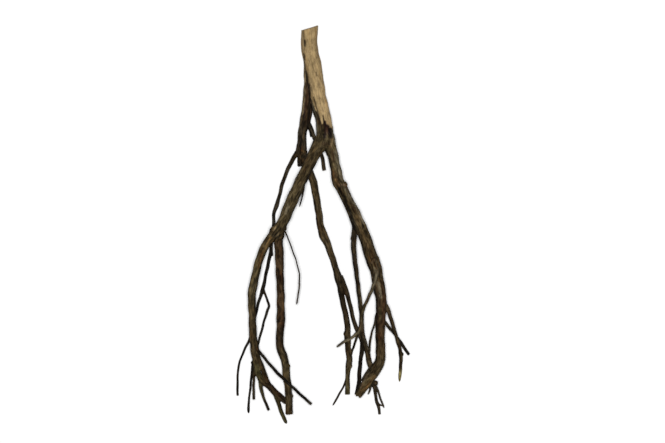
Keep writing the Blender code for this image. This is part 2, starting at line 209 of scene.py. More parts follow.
# The same for peeled wood.
WOOD_GRAIN = (0.36, 0.64, 0.44, 1.06)
WOOD_STAINS = (0.38, 0.62, 0.0, 0.56)
GREY_STREAKS = (0.50, 0.66, 0.0, 0.65)
GREY_TINT = (0.80, 0.78, 0.84, 1)
YELLOW_STREAKS = (0.46, 0.32, 0.0, 0.70)
YELLOW_TINT = (0.86, 0.66, 0.44, 1)
DARK_LINES = (0.60, 0.72, 0.0, 0.55)
DARK_LINE_TONE = 0.45
WOOD_FLECKS = (0.66, 0.76, 0.0, 0.50)
WOOD_FLECK_TONE = 0.40

# Growth rings on cut ends. Ring turns are radians to a millimetre.
RING_WAVER_MM = 1.6
RING_TURNS = 6.5
DARK_RING = (0.150, 0.092, 0.048, 1)
PALE_RING = (0.290, 0.195, 0.110, 1)
CUT_DIRT = (0.06, 0.04, 0.025, 1)
CUT_DIRT_SHARE = 0.6

# The surface: how dull it is, and its fine bumps.
BARK_ROUGHNESS = 0.92
PEELED_SHEEN = 0.16
FIBRE_SHEEN = 0.16
BARK_SPECULAR = 0.05
BUMPS = {"fibres": 0.6, "flecks": 0.25, "lines": 0.35}
BUMP_STRENGTH = 0.55
BUMP_METRES = 0.0006

# The floor, the light and the view, in metres.
FLOOR_HALF = 6.0
FLOOR_COLOR = (0.92, 0.92, 0.92, 1)
FLOOR_ROUGHNESS = 0.95
FLOOR_SPECULAR = 0.1
LAMP_SIZE = 0.9
LAMP_POWER = 1220.0
LAMP_HEIGHT = 11.0
ROOM_COLOR = (1, 1, 1, 1)
ROOM_LIGHT = 0.11
SENSOR_MM = 36.0
CAMERA_HEIGHT = 12.0
SHARP_HEIGHT = 0.05
CAMERA_REACH = 100.0

# Each limb starts inside the limb that it grows from and ends at its visible end.
LIMBS = {
    "stem": ("slanted cut", [
        (327, 148, 75, 9.5), (326, 140, 70, 12.7), (324.9, 134.6, 66, 12.3), (323.9, 122, 56, 11.5),
        (321.3, 109, 47, 12.2), (319.1, 99, 40, 11.9), (316, 80, 28, 12.1), (312.9, 64, 19.5, 12.5),
        (310.3, 54.5, 15.2, 12.6), (309.3, 47, 13.3, 13), (309.4, 38, 13.1, 13.5),
        (309.8, 27.4, 13.8, 13.2),
    ]),
    "left leg": ("buried", [
        (325.5, 130, 63, 9), (322, 141, 73, 10.6), (315.8, 151, 79, 9.4), (308.2, 166.5, 85, 8.5),
        (302.5, 178, 89, 8.6), (295.8, 192, 93, 8.3), (289.9, 206, 96, 8.3), (284, 220, 98, 8.3),
        (279, 230, 98.5, 8.8), (276.5, 236, 98, 7.4),
    ]),
    "curved leg": ("buried", [
        (280.5, 227, 98, 7), (273, 236, 98, 7), (267, 243, 97, 6.3), (263.9, 249, 95, 6.2),
        (258.8, 263, 90, 5.9), (255.2, 277, 85, 5.8), (252.4, 291, 80, 5.9), (251.9, 304, 75.5, 5.8),
        (252.4, 317, 71, 5.5), (253.1, 333, 66, 5.5), (254.2, 346, 61, 5.8), (254.6, 350.5, 60, 5.9),
        (255.9, 358, 57, 4.8), (256.4, 363, 55, 3.4),
    ]),
    "left strand": ("buried", [
        (254.6, 350, 60, 4), (254.9, 358, 56.5, 3.8), (256.4, 366, 54, 4.4), (258.6, 374, 50, 4.7),
        (262.2, 380.4, 46, 4.8), (266, 383.6, 43.5, 4.2),
    ]),
    "right strand": ("buried", [
        (256, 350, 60, 4), (259.2, 359.5, 57, 3.4), (262.2, 366.5, 54, 3.3), (264.7, 374, 50, 3.2),
        (266.4, 380, 46, 3.6), (268.4, 384.4, 43.5, 3.8),
    ]),
    "left foot": ("cut", [
        (262.6, 379.6, 46.5, 4.2), (266, 383.4, 43.8, 5.4), (270.2, 387.6, 41.2, 4.7),
        (274, 391.5, 38, 4.4), (278, 395.1, 35, 4.5), (282, 398.5, 32, 4.5), (286.2, 402.2, 29, 3.9),
    ]),
    "left foot root": ("tip", [
        (270.4, 387, 41, 4), (274.8, 393.6, 36.5, 3.6), (277.2, 399.4, 32.5, 3.3), (280, 408.5, 27, 2.95),
        (282.3, 415, 22.5, 2.85), (285, 421.4, 18, 2.65), (286.4, 424, 16.5, 2),
    ]),
    "left foot twig": ("cut", [
        (259.6, 375.5, 49.5, 3.2), (260.6, 384, 44, 2.8), (261.6, 391, 40, 2.6), (263.2, 397, 37, 2.1),
        (265.6, 403, 34, 2.05), (268.6, 410.4, 30, 2.1),
    ]),
    "short twig": ("cut", [
        (255.4, 363.5, 54, 2.6), (254.1, 372, 51, 2.2), (253.6, 384, 46, 2.15), (253.8, 399.6, 40, 2.1),
    ]),
    "long rootlet": ("cut", [
        (254.8, 345.5, 62, 2.6), (257.6, 349.2, 64, 2.5), (266.8, 360.5, 64.5, 2.3),
        (279.2, 374.6, 63.5, 2.25), (290.9, 385.4, 61, 2.2), (301.5, 395.3, 57, 2.2),
        (311.2, 404.2, 52, 2.2),
    ]),
    "middle left leg": ("cut", [
        (280, 226, 97, 6.6), (278.8, 236, 95, 6.6), (279.1, 249, 90, 6.3), (279.7, 263, 84, 5.95),
        (280.1, 277, 79, 5.8), (280.6, 291, 74, 5.75), (281, 305, 69, 5.7), (281, 314, 65.5, 5.9),
        (280.8, 319, 64, 6.4), (280.4, 324.6, 62, 5.9), (280.1, 333, 59.5, 5.65), (279.9, 343, 56, 5.85),
        (281.3, 350.5, 54, 6.2), (284.9, 361.5, 50.5, 5.5), (286.2, 373, 47.5, 5.5),
        (288.1, 388, 44.5, 5.4), (289, 405, 42.5, 5.6), (289.3, 414, 41, 5.6),
    ]),
    "wispy rootlet": ("tip", [
        (281, 225, 98, 1.8), (285.6, 232.3, 98, 1.3), (291.4, 247, 94, 1.15), (296.9, 263, 88, 1.1),
        (299.4, 274.4, 83, 1.15), (299.4, 284.2, 79, 1.2), (298.3, 294.7, 74, 1.2), (296.6, 304.6, 70, 1.1),
    ]),
    "leg twig": ("tip", [
        (298.5, 183, 91, 2), (303.9, 187.6, 92, 1.6), (303.6, 191, 91, 1.4), (301.7, 199, 87, 1.35),
        (299.6, 206.8, 83, 1.1),
    ]),
    "back stem": ("buried", [
        (311, 52, 15, 7), (308.9, 66, 19, 8), (308.9, 80, 26, 7.6), (308.4, 91, 32, 7),
        (307.8, 100, 34.5, 7.4), (306.9, 109, 34, 7.6), (305.5, 118.7, 33, 8), (303.2, 128, 31, 6.8),
        (302, 141, 28, 6.8), (301.5, 149, 26.5, 8), (302.5, 157, 25.5, 6.4),
    ]),
    "fork branch": ("cut", [
        (305, 117.5, 33, 4.4), (309.3, 125, 32, 3.5), (312.4, 132, 32, 3.2), (314.8, 139, 32.5, 3),
        (318, 147, 33, 2.9), (321.5, 155.3, 34, 2.8), (324.2, 170.4, 34, 2.9),
    ]),
    "fork spur": ("tip", [
        (308.6, 125.5, 32, 2), (310.2, 131.5, 30.5, 1.8), (311, 137.4, 29, 1.2),
    ]),
    "junction stub": ("cut", [
        (300.6, 150, 26, 4.8), (299.9, 158, 24, 3.6), (299.7, 166, 21.5, 3.3),
    ]),
    "left thin root": ("cut", [
        (301, 148, 26, 4.2), (296.2, 153.8, 24.5, 3.6), (290.7, 163, 23, 3.1), (286, 173.5, 21.5, 2.9),
        (281.7, 185.5, 20, 2.8), (278.4, 199, 20, 2.7), (276.6, 205, 20, 3.1), (274.2, 211.5, 20, 2.6),
        (273.3, 225, 20.3, 2.5), (271.8, 239, 20.8, 2.4), (270.8, 250.5, 21, 2.7),
        (268.1, 263.5, 21, 2.4), (265.3, 277, 21, 2.3), (262.6, 289.5, 21, 2.8), (258.8, 301, 20, 2.3),
        (256.2, 311.5, 18.5, 2.1), (253, 326, 16, 2), (249.5, 339, 13, 1.9), (244.8, 349, 9.5, 1.8),
        (240, 360.5, 5.5, 1.75), (237.9, 368.5, 3, 1.75), (237.3, 378, 1.35, 1.75),
        (237.1, 388, 1.3, 1.75), (237.2, 396.4, 2.2, 1.6),
    ]),
    "left root spur": ("tip", [
        (270.8, 247.5, 21, 1.9), (272.6, 256, 20, 1.3),
    ]),
    "hooked twig": ("tip", [
        (262.6, 288.5, 21, 2.3), (265.3, 295, 21.3, 1.8), (267.4, 301.5, 21.5, 1.8),
        (269, 306.8, 21.5, 1.9), (267.5, 310, 21.5, 1.9), (264.8, 318.5, 21.2, 1.8),
        (261.6, 330.5, 20.5, 1.75), (258.3, 342.5, 20, 1.75), (253.2, 361, 18.5, 1.9),
        (251.9, 370.5, 17, 1.9), (250.5, 384, 14.8, 1.8), (249.3, 396, 12.5, 1.7),
        (248.3, 405, 10.8, 1.9), (248.2, 411, 9.6, 2), (248.4, 413.8, 9, 1.4),
    ]),
    "middle leg": ("buried", [
        (300.8, 147, 27, 5), (303.5, 158, 25.5, 5.4), (308, 168, 26, 5.2), (312.2, 178, 26.5, 5.4),
        (315.2, 192, 27, 5.6), (316.4, 199, 27, 5.4), (319, 213.5, 26.5, 5.2), (320.8, 227.5, 26, 5.1),
        (323.1, 234.5, 26, 6.2), (326.5, 241.5, 26, 5.4), (331.5, 255.5, 25.5, 4.9),
        (335.6, 268, 24.5, 4.9), (339, 280.5, 24, 5.5), (341.4, 287, 24, 4.4),
    ]),
    "middle leg strand": ("cut", [
        (338.8, 277, 24, 4), (340, 286, 23.5, 4.1), (341.6, 296, 23.5, 4.1), (344.6, 310, 23, 4.2),
        (347.2, 323, 22.5, 4.5), (347.6, 336, 22, 4.8), (348, 348, 21, 3.9), (349.3, 359, 20, 4.4),
        (348.8, 366, 19, 4.6), (347.8, 372, 18, 3.8), (347.6, 383, 16.5, 3.8), (347.6, 394.8, 15.5, 3.8),
    ]),
    "dark strand": ("cut", [
        (340.4, 276, 24.5, 3.8), (344.2, 286, 24.5, 3.9), (347.6, 296, 25, 3.5), (351.2, 310, 26, 3.2),
        (354.6, 324, 26, 3.1), (359, 334, 25, 3.2), (362.3, 343.5, 24, 3), (361.9, 350.5, 23, 3.3),
        (360.8, 359, 21.5, 3.1), (359.5, 371, 19.5, 3.2), (359.1, 381, 18, 3.1), (357.8, 390, 17, 2.9),
        (356, 395.4, 16, 2.4),
    ]),
    "right leg": ("broken", [
        (325.5, 129, 62, 8.5), (328.5, 141, 71, 10.2), (331.6, 150, 75.5, 8.3), (333.4, 157, 78, 7.7),
        (335, 166, 80, 7.3), (336.2, 172, 81.5, 7.4), (338.6, 182, 83.5, 8.7), (342.8, 190, 84.5, 8.3),
        (347.5, 201, 85, 8.7), (350.7, 207, 85, 8.9), (355.2, 216.5, 84.5, 9.4), (362.5, 232, 82.5, 8.2),
        (367.5, 246, 80.5, 8.8), (370.3, 254.5, 79, 9.8), (373, 261.5, 77.5, 10.2),
        (375.4, 269, 75.5, 9.2), (377.9, 282, 72, 8.3), (380.8, 296, 68.5, 7.8), (381.1, 310, 65, 7.1),
        (380.6, 324, 61.5, 6.9), (380.2, 337, 57.5, 6.7), (380.5, 348, 54, 6.3),
        (380.4, 358.6, 50.5, 6.8), (378.2, 365.5, 48, 7.6), (374.8, 371, 46, 7.7),
        (370.8, 376.4, 44, 7.8), (366.7, 382.7, 41.5, 7.2), (363, 388, 39.5, 6.4),
        (360, 392.6, 37.5, 5.9), (358.5, 395, 36.5, 5.3),
    ]),
    "side branch": ("buried", [
        (354.8, 213, 83.5, 4.4), (354.3, 222, 82, 4.4), (354.5, 230, 80.3, 3.8), (354, 236.5, 78.7, 4),
        (353.5, 243, 76.5, 3.8), (355, 261, 70, 3.5), (357.5, 282, 61, 3.35), (360.2, 303, 51, 3.2),
        (361.6, 317, 45, 3.5), (361.8, 331, 41, 3.8), (364.2, 341, 38, 3.7), (367.2, 351.6, 36, 3.6),
        (368.9, 360.5, 36.5, 3.9), (372, 369.5, 41, 3.7),
    ]),
    "front twig": ("tip", [
        (377.4, 267, 80, 2.8), (376.2, 274, 84.5, 2.6), (372.8, 286.5, 79.5, 2.5),
        (369.3, 295.5, 70.5, 2.4), (366.6, 301.5, 62, 2.35), (364, 307.5, 54, 2.3),
        (361.7, 315.5, 48, 2.3), (360.9, 324, 45.5, 2.3), (357.7, 332.2, 44.5, 2.6), (354, 336, 44, 2.2),
        (343.9, 341.9, 42.5, 2), (336.6, 347.2, 41.5, 1.8),
    ]),
    "crossing rootlet": ("tip", [
        (357.9, 331, 44, 2.2), (356.2, 339.4, 36, 1.8), (352.8, 349.5, 21, 1.7), (351.4, 355, 14, 1.6),
        (349.5, 362, 9.5, 1.5), (345.2, 383.1, 6, 1.5), (338.9, 395.5, 4.5, 1.65), (332.7, 406.3, 3.6, 1.5),
    ]),
    "thin dark twig": ("buried", [
        (380, 307, 65, 2.2), (377.2, 312.5, 63.5, 1.8), (374.2, 325, 57, 1.65), (371.4, 334, 50.5, 1.6),
        (370.2, 340.4, 46, 1.9), (369.6, 348, 40, 1.7), (369, 355, 36, 1.8),
    ]),
    "short link": ("tip", [
        (371, 367.5, 38.5, 2.6), (367.4, 372, 37.8, 2.2), (363.2, 378.2, 36, 1.8), (361.2, 381.4, 35, 1.3),
    ]),
    "right twig": ("tip", [
        (381.5, 300, 67, 4.2), (386.8, 307.5, 64.5, 3.4), (390.4, 317.2, 59.5, 2.9),
        (394, 329.1, 52.5, 2.7), (397.1, 339.6, 44, 2.7), (399.8, 348.5, 34, 2.7), (401, 355, 25, 3),
        (401, 362, 15.5, 2.65), (400.8, 368, 7.2, 2.5), (400.5, 373, 2.2, 2.35), (400.1, 378.5, 1.6, 2),
        (399.7, 382.6, 2.2, 1),
    ]),
    "lower right twig": ("cut", [
        (380.8, 317.5, 62, 3.2), (385.4, 323, 57, 2.6), (390, 328.6, 50, 2.3), (397, 337.2, 37.5, 2.3),
        (400.7, 342.6, 31.5, 2.4), (409, 354.8, 22, 2.4),
    ]),
    "foot rootlet": ("cut", [
        (371.8, 380.5, 42, 3.4), (374.4, 387.3, 37, 2.7), (375.9, 398, 22.5, 2.4), (377.2, 403, 14, 2.6),
        (378.9, 408.5, 6, 2.5), (379.4, 411.5, 1.9, 2.3), (379.8, 415.2, 1.3, 2.2),
    ]),
    "foot rootlet spur": ("tip", [
        (377.4, 403.8, 13, 1.8), (380.3, 405.6, 13, 1.5), (383, 406.4, 13, 1.2),
    ]),
    "thin foot rootlet": ("tip", [
        (373.6, 382, 42, 2.3), (376.8, 387.6, 37, 1.8), (379.6, 396.5, 30, 1.7), (382.4, 403.8, 24, 1.6),
        (384.2, 408.4, 21, 1.2),
    ]),
    "foot spur": ("tip", [
        (370.2, 383.5, 40, 2.2), (370.2, 389.4, 35, 1.7), (367.9, 394.9, 31, 1.2),
    ]),
}

# Knots and knobs, as (across, down, height, radius), each sunk into the limb that carries it.
KNOBS = (
    (274.8, 232, 98.5, 8.2),
    (279.6, 235.5, 97, 7.6),
    (284.3, 228, 99, 4),
    (301.4, 152.5, 26, 8.4),
    (312.6, 99.5, 37, 4.8),
    (320.4, 128.5, 60, 5),
    (336.6, 184, 84.5, 5.4),
    (344.5, 184.8, 84.5, 4.6),
    (375.7, 259.5, 79.5, 5.2),
    (353.4, 238.2, 78.2, 4.4),
    (255.6, 347.5, 63, 4.4),
    (262, 368.2, 53.5, 3.8),
    (288.2, 366, 50, 3),
    (291.9, 396, 45, 2.4),
    (350.2, 366.4, 19, 3.2),
    (346.3, 334, 22.5, 4.4),
    (401.7, 354.6, 25, 3.1),
    (375.8, 383.2, 41.5, 3.6),
    (357.9, 332.4, 44.3, 3),
    (252.2, 363, 18.2, 2.5),
    (382.4, 320, 64, 4.2),
    (376.6, 364, 48.5, 4.6),
)

# The tones of bark and wood, as linear colors.
TONES = {
    "pale wood": (0.380, 0.270, 0.133),
    "aged wood": (0.318, 0.226, 0.108),
    "tan": (0.210, 0.155, 0.084),
    "olive": (0.062, 0.045, 0.020),
    "brown": (0.046, 0.031, 0.0135),
    "red brown": (0.041, 0.0235, 0.0105),
    "grey": (0.118, 0.098, 0.062),
    "dark": (0.027, 0.0187, 0.0095),
    "deep red": (0.036, 0.0195, 0.0095),
    "purple": (0.013, 0.0075, 0.0075),
    "black": (0.0105, 0.0082, 0.0056),
    # Near black, used only for painted shade along a shaded flank.
    "shade black": (0.0030, 0.0023, 0.0014),
    "orange": (0.150, 0.084, 0.030),
    "pink": (0.175, 0.108, 0.074),
    "yellow green": (0.175, 0.145, 0.056),
    "green": (0.050, 0.042, 0.016),
}

# Each limb's tones, as (share of its length, tone). A limb that isn't named is dark all along.
LIMB_TONES = {
    "stem": ((0.1, "olive"), (0.2, "brown"), (0.32, "dark")),
    "left leg": ((0, "olive"), (0.35, "brown"), (0.6, "olive"), (0.85, "olive"), (1, "brown")),
    "curved leg": ((0, "brown"), (0.2, "olive"), (0.5, "olive"), (0.8, "brown")),
    "left strand": ((0, "brown"), (0.5, "green"), (1, "brown")),
    "right strand": ((0, "brown"),),
    "left foot": ((0, "brown"), (0.5, "red brown"), (1, "dark")),
    "left foot root": ((0, "brown"), (0.5, "green")),
    "left foot twig": ((0, "green"), (1, "dark")),
    "long rootlet": ((0, "black"),),
    "middle left leg": ((0.5, "red brown"), (0.62, "dark"), (0.72, "olive"), (1, "brown")),
    "leg twig": ((0, "dark"), (1, "black")),
    "back stem": ((0.5, "deep red"), (0.75, "dark")),
    "fork branch": ((0, "black"), (0.5, "dark")),
    "fork spur": ((0, "black"),),
    "junction stub": ((0, "black"),),
    "left thin root": ((0.12, "dark"), (0.3, "black")),
    "left root spur": ((0, "black"),),
    "hooked twig": ((0, "dark"), (0.2, "black")),
    "middle leg": ((0, "dark"), (0.25, "brown"), (0.8, "brown"), (1, "dark")),
    "middle leg strand": ((0.3, "dark"), (0.6, "brown"), (0.85, "olive"), (1, "green")),
    "dark strand": ((0.5, "dark"), (0.7, "black")),
    "right leg": ((0.2, "olive"), (0.45, "brown"), (0.55, "brown"), (0.7, "deep red"), (0.85, "brown"),
                  (1, "olive")),
    "side branch": ((0.3, "dark"), (0.6, "brown"), (0.7, "dark"), (1, "brown")),
    "front twig": ((0, "grey"), (0.5, "olive"), (1, "grey")),
    "right twig": ((0, "dark"), (0.6, "brown"), (0.84, "brown"), (0.88, "yellow green")),
    "lower right twig": ((0, "dark"), (1, "black")),
    "foot spur": ((0, "brown"), (1, "dark")),
}

# Where the stem's peeled wood ends, as (degrees round from the front, down).
PEELED_EDGE = (
    (-180, 104), (-120, 97), (-80, 98), (-60, 104), (-45, 112), (-33, 119), (-20, 126.5), (-8, 122),
    (0, 117), (10, 122), (25, 126), (45, 128), (90, 127.5), (135, 117), (180, 104),
)

# The peeled wood greys towards the cut top, from this far along the stem and over this length.
AGED_FROM_MM = 45.0
AGED_OVER_MM = 90.0

# Marks that show from the front, as (tone, share, half width in pixels, groove in mm, points). Some are the
# bark's own colour; the black and dark lines in crevices, folds and along shaded edges are painted shade, and
# some grey strips along lit edges are painted highlight.
MARKS = (
    ("tan", 0.55, 1.2, 0, ((302.4, 32), (302.2, 48), (303, 58))),
    ("tan", 0.75, 1.2, 0, ((304.4, 60), (304.9, 74), (304.6, 88), (303.9, 102), (302.6, 113))),
    ("brown", 0.8, 0.55, 0.6, ((303.4, 30), (303.9, 38.5), (304.7, 45), (303.9, 53), (304.3, 64),
                               (306.2, 72), (307.4, 81), (308.8, 90))),
    ("black", 0.95, 0.75, 0.9, ((304.7, 40), (304.9, 45.5))),
    ("black", 0.95, 0.85, 0.9, ((303.8, 53.4), (304.3, 59.2))),
    ("black", 0.9, 0.85, 0.9, ((305.9, 71), (307, 80))),
    ("dark", 0.9, 0.85, 0.7, ((308.3, 84.5), (309.3, 93))),
    ("brown", 0.75, 0.8, 0.3, ((316.2, 72.6), (316.8, 75.6))),
    ("brown", 0.30, 0.6, 0.1, ((310.4, 52), (311.2, 60), (313.6, 70))),
    ("brown", 0.25, 0.6, 0.1, ((311.4, 31), (311, 46))),
    ("brown", 0.25, 0.6, 0.1, ((314.8, 36), (315.4, 52), (317.6, 64))),
    ("brown", 0.35, 0.5, 0.1, ((321.6, 92), (323.4, 104), (325.2, 112))),
    ("brown", 0.25, 0.5, 0.1, ((317.6, 84), (319.4, 97), (320.6, 108))),
    ("pink", 0.35, 1, 0, ((317, 33), (316.9, 46), (318.4, 55))),
    ("tan", 0.4, 0.9, 0, ((321.4, 66), (323.6, 78), (325.6, 92), (328.2, 106), (331, 119))),
    ("black", 0.9, 0.7, 0.5, ((313.6, 97), (316.2, 107), (319, 117), (321.4, 125), (322, 131))),
    ("grey", 0.6, 0.9, 0, ((311.8, 101), (314, 109), (316.2, 118), (317.4, 128), (316.4, 136))),
    ("black", 0.9, 0.6, 0.3, ((323, 116), (324, 121), (325.2, 126))),
    ("purple", 0.9, 1.7, 0.2, ((325, 122), (325.6, 129), (324.6, 137))),
    ("purple", 0.9, 2.2, 0.2, ((327.4, 126), (329.4, 131), (330.4, 136))),
    ("black", 0.8, 1, 0.3, ((329.4, 129), (331, 134), (331.2, 139))),
    ("pink", 0.22, 0.8, 0, ((326.6, 128), (327.2, 135))),
    ("black", 0.8, 0.6, 0.4, ((323.4, 134), (323.8, 140.5))),
    ("deep red", 0.6, 1.8, 0, ((323.4, 143.5), (327.4, 144.5))),
    ("grey", 0.6, 0.9, 0, ((332.4, 131), (333.6, 137), (334.8, 143))),
    ("tan", 0.35, 1.2, 0, ((332, 139), (331, 147))),
    # Painted shade in the crevice between the back stem and the stem.
    ("deep red", 0.7, 1.4, 0.2, ((307.6, 84), (308.6, 94), (309.4, 104))),
    ("black", 0.85, 1.2, 0.3, ((308.6, 84), (309.6, 95), (309.6, 106), (308.4, 118), (307, 128))),
    ("olive", 0.4, 0.9, 0, ((304.8, 84), (304.6, 94), (304, 103))),
    ("black", 0.6, 0.6, 0.3, ((304, 110), (303, 124), (302.2, 136))),
    ("purple", 0.7, 1, 0.1, ((305, 103), (304.6, 110), (304.4, 117))),
    ("black", 0.7, 0.8, 0.3, ((301.6, 138), (300.8, 146), (300, 154))),
    ("grey", 0.35, 0.6, 0, ((302.4, 106), (300.6, 120), (299, 134))),
    ("orange", 0.22, 0.8, 0, ((306.6, 110), (306, 119))),
    ("orange", 0.2, 0.7, 0, ((303.6, 132), (303.2, 139))),
    ("orange", 0.3, 0.8, 0, ((301, 150), (305.4, 152))),
    # Painted shade in the folds of the knot.
    ("black", 0.85, 0.6, 0.7, ((272.8, 234.5), (275.1, 231), (278.1, 227.4), (278.9, 226.2))),
    ("black", 0.85, 0.6, 0.7, ((273.3, 237), (276.3, 233.9), (279.3, 231.3))),
    ("black", 0.8, 0.6, 0.7, ((273.9, 242.2), (275.7, 238.7), (278.7, 236.9), (280.6, 234.5))),
    ("dark", 0.7, 0.6, 0.5, ((281, 232.4), (281.4, 228.6), (279.9, 225.7), (276.9, 224.5))),
    ("black", 0.7, 0.7, 0.4, ((266.8, 241), (265, 244.6))),
    ("black", 0.6, 0.7, 0.4, ((263.3, 248.1), (261.5, 252.9))),
    ("orange", 0.75, 1.2, 0, ((271.2, 237), (269, 240.6))),
    ("orange", 0.45, 1, 0, ((268, 243), (265.8, 247.6), (262.8, 252.4), (260, 258.6))),
    ("tan", 0.45, 0.8, 0, ((276, 227.2), (273.5, 230.4))),
    ("tan", 0.35, 0.8, 0, ((276.4, 236.4), (278.6, 233.6))),
    ("grey", 0.7, 1.6, 0, ((288.4, 206), (286, 213))),
    ("grey", 0.45, 0.9, 0, ((293.6, 180), (287.4, 194), (281.4, 208), (276.4, 221))),
    ("dark", 0.6, 0.9, 0.2, ((304.6, 178), (300.2, 187), (296, 197), (291.6, 208))),
    ("red brown", 0.8, 2.2, 0, ((333, 152), (333.8, 160))),
    ("red brown", 0.7, 2.4, 0, ((334.6, 173), (336.2, 179), (337.6, 186))),
    ("pink", 0.4, 0.8, 0, ((339, 184), (341.6, 185.4), (344, 184.6), (346, 186.6))),
    ("orange", 0.4, 1.2, 0, ((335.6, 180), (337.6, 184), (341, 190), (343, 194))),
    ("black", 0.5, 0.7, 0.4, ((337.4, 181), (340.4, 184.8), (342.4, 189))),
    # Painted highlight along the lit right side of the right leg.
    ("grey", 0.75, 1.6, 0, ((335.8, 152), (337.8, 163), (340, 173), (342, 180))),
    ("grey", 0.8, 1.5, 0, ((346, 189), (349.6, 195.6), (354, 203.6), (359, 213), (363.4, 223))),
    # Painted shade along the shaded left flank of the right leg.
    ("shade black", 0.92, 1.7, 0.3, ((339.4, 188.4), (341.6, 193), (344.4, 197.2), (347.3, 205.2),
                               (350.5, 213.9), (352.6, 222), (354.2, 229.4))),
    ("black", 0.6, 0.9, 0.1, ((353.1, 236), (352.5, 243), (353.9, 261), (356.4, 282), (359.2, 303))),
    ("orange", 0.15, 1.8, 0, ((355.6, 216), (359.4, 226), (364.2, 237), (368.4, 248))),
    ("grey", 0.6, 1, 0, ((371.6, 262.6), (374, 259.8), (376.8, 262.4), (377, 267))),
    ("grey", 0.55, 1.1, 0, ((374.4, 268), (375.6, 273.5))),
    ("black", 0.7, 0.7, 0.5, ((372, 258.6), (374.8, 257.2), (377.6, 259))),
    ("black", 0.75, 0.7, 0.6, ((379, 276), (382.2, 278.6))),
    ("black", 0.5, 0.6, 0.4, ((371.6, 270), (373, 277), (373.6, 283))),
    ("grey", 0.75, 1.4, 0, ((377.8, 282.5), (379.8, 289), (380.8, 297))),
    ("yellow green", 0.28, 1.4, 0, ((380.2, 309), (380, 319))),
    # Painted highlight along a lit limb edge.
    ("grey", 0.6, 0.8, 0, ((363.4, 337), (365.6, 343), (368.2, 349))),
    ("brown", 0.7, 1, 0, ((353, 238), (353.4, 246), (354, 252))),
    ("orange", 0.5, 1.2, 0, ((374.6, 376), (369.6, 383), (364.4, 390))),
    ("grey", 0.5, 1.2, 0, ((368.6, 372), (364.6, 379), (360.4, 387))),
    ("black", 0.6, 0.5, 0.4, ((377, 359), (374.8, 366), (371, 374))),
    ("black", 0.6, 0.6, 0.5, ((276.8, 320.5), (280.6, 321.6), (284.6, 320.4))),
    ("orange", 0.3, 0.9, 0, ((283.6, 302), (283.8, 309))),
    ("black", 0.5, 0.6, 0.4, ((277.2, 350.5), (280.8, 354.5))),
    ("grey", 0.4, 1, 0, ((288.6, 352), (289, 360))),
)


def ground_place(across, down, height):
    """The place (mm) of a front-view point that lies this high above the ground."""
    return np.array([
        (across - MIDDLE_ACROSS) * MM_PER_PIXEL,
        (MIDDLE_DOWN - down) * MM_PER_PIXEL,
        height,
    ])


def front_pixels(points):
    """Where points (mm) lie in the front view."""
    return np.column_stack([
        points[:, 0] / MM_PER_PIXEL + MIDDLE_ACROSS,
        MIDDLE_DOWN - points[:, 1] / MM_PER_PIXEL,
    ])


def smooth_route(points, spacing):
    """Centres, radii and distances along a smooth curve through the route's points, all in mm."""
    knots = np.array([[*ground_place(*point[:3]), point[3]] for point in points])
    steps = np.linalg.norm(np.diff(knots[:, :3], axis=0), axis=1)
    slopes = np.diff(knots, axis=0) / steps[:, None]
    before, after = steps[:-1, None], steps[1:, None]
    inner = (slopes[:-1] * after + slopes[1:] * before) / (before + after)
    tangents = np.vstack([slopes[:1], inner, slopes[-1:]])
    reach = np.concatenate([[0.0], np.cumsum(steps)])
    stretches = [
        np.linspace(start, stop, max(1, round((stop - start) / spacing)), endpoint=False)
        for start, stop in zip(reach, reach[1:])
    ]
    along = np.concatenate([*stretches, reach[-1:]])
    piece = np.clip(np.searchsorted(reach, along, side="right") - 1, 0, len(steps) - 1)
    length = steps[piece][:, None]
    t = (along[:, None] - reach[piece][:, None]) / length
    curve = (
        (2 * t**3 - 3 * t**2 + 1) * knots[piece]
        + (t**3 - 2 * t**2 + t) * length * tangents[piece]
        + (3 * t**2 - 2 * t**3) * knots[piece + 1]
        + (t**3 - t**2) * length * tangents[piece + 1]
    )
    return curve[:, :3], curve[:, 3], along


def unit(vectors):
    return vectors / np.linalg.norm(vectors, axis=1, keepdims=True)


def ring_frames(centres):
    """Unit vectors along the route, up from it and to its side, at each centre."""
    forward = unit(np.gradient(centres, axis=0))
    up = unit(np.array([0.0, 0.0, 1.0]) - forward * forward[:, 2:])
    return forward, up, np.cross(forward, up)


def lobe_share(along, angles, phase):
    """How far the surface lies from the centre at each place, as a share of the limb's radius."""
    turn = 2 * math.pi * along / LOBE_TURN_MM + phase
    lobes = TWO_LOBES * np.cos(2 * angles + turn) + THREE_LOBES * np.cos(3 * angles - COUNTER_TURN * turn)
    swelling = SWELLING * np.sin(2 * math.pi * along / SWELLING_LENGTH_MM + SWELLING_PHASE * phase)
    return 1 + lobes + swelling


def end_reach(style, angles, radius):
    """How far (mm) each point of the last ring goes on past its centre."""
    if style == "slanted cut":
        return TOP_CUT_SLANT * radius * np.sin(angles)
    if style == "broken":
        splinters = np.abs(np.sin(SPLINTER_WAVES * angles + SPLINTER_START))
        return SPLINTER_MM * (splinters - SPLINTER_DROP)
    return END_WAVE * radius * np.sin(2 * angles)


